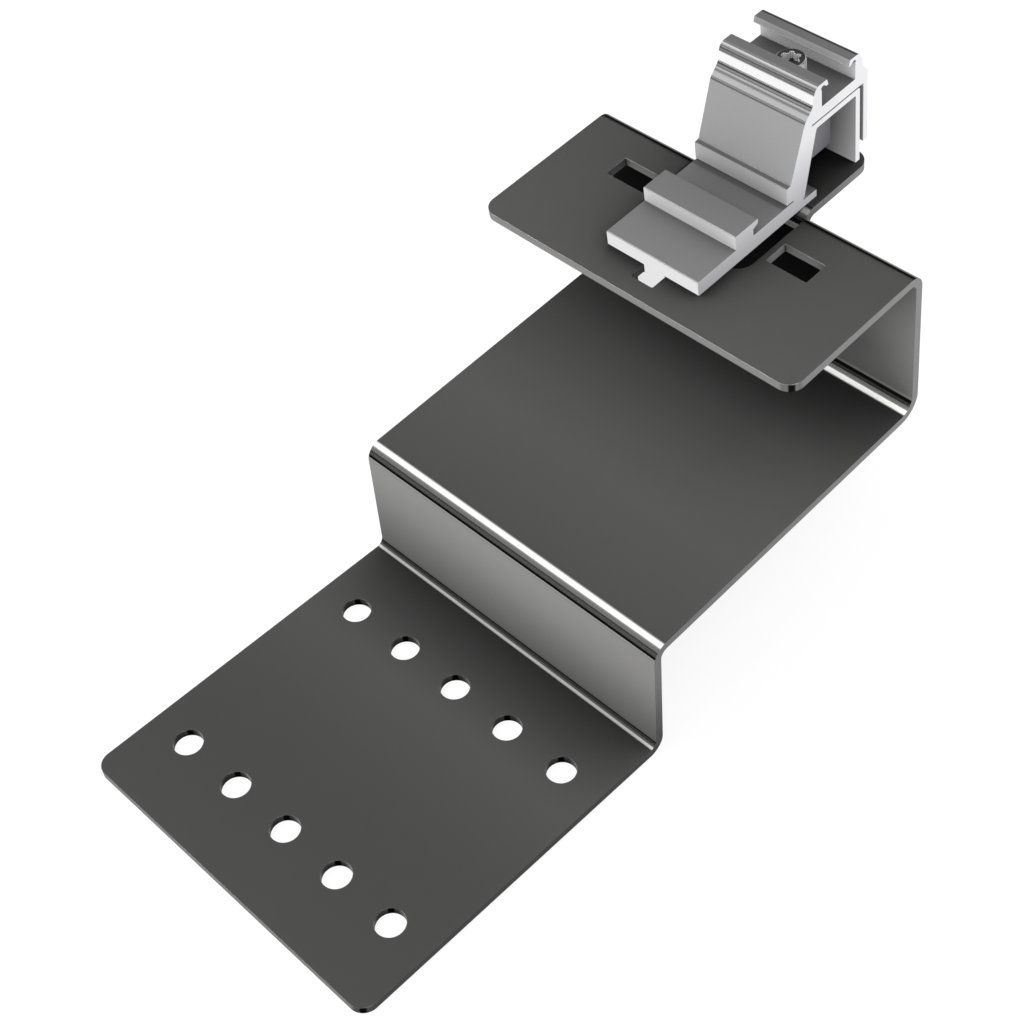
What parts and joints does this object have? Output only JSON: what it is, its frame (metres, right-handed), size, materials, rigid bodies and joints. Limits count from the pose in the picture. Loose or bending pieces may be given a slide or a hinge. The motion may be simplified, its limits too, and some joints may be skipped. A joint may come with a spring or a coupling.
{
  "type": "solar roof hook",
  "caption": "Folded steel roof hook with a drilled fixing base, riser, long shelf and rear wall, and a clamped aluminium bracket whose jaws hold a solar rail.",
  "frame": {"origin": "middle of the fixing holes, on the underside of the base", "axes": "+X across the hook, +Y from the fixing base towards the bracket, +Z away from the roof"},
  "size_m": [0.13, 0.2823, 0.164],
  "materials": {
    "steel": "satin rolled stainless sheet",
    "aluminium": "mill-finished extrusion with sawn ends",
    "screw_steel": "plain stainless screw",
    "block_metal": "dull, darker than the bracket"
  },
  "bodies": {
    "root": {"hook_plate": "steel", "rail_bracket": "aluminium", "clamp_screw": "screw_steel", "clamp_block": "block_metal"}
  },
  "joints": []
}
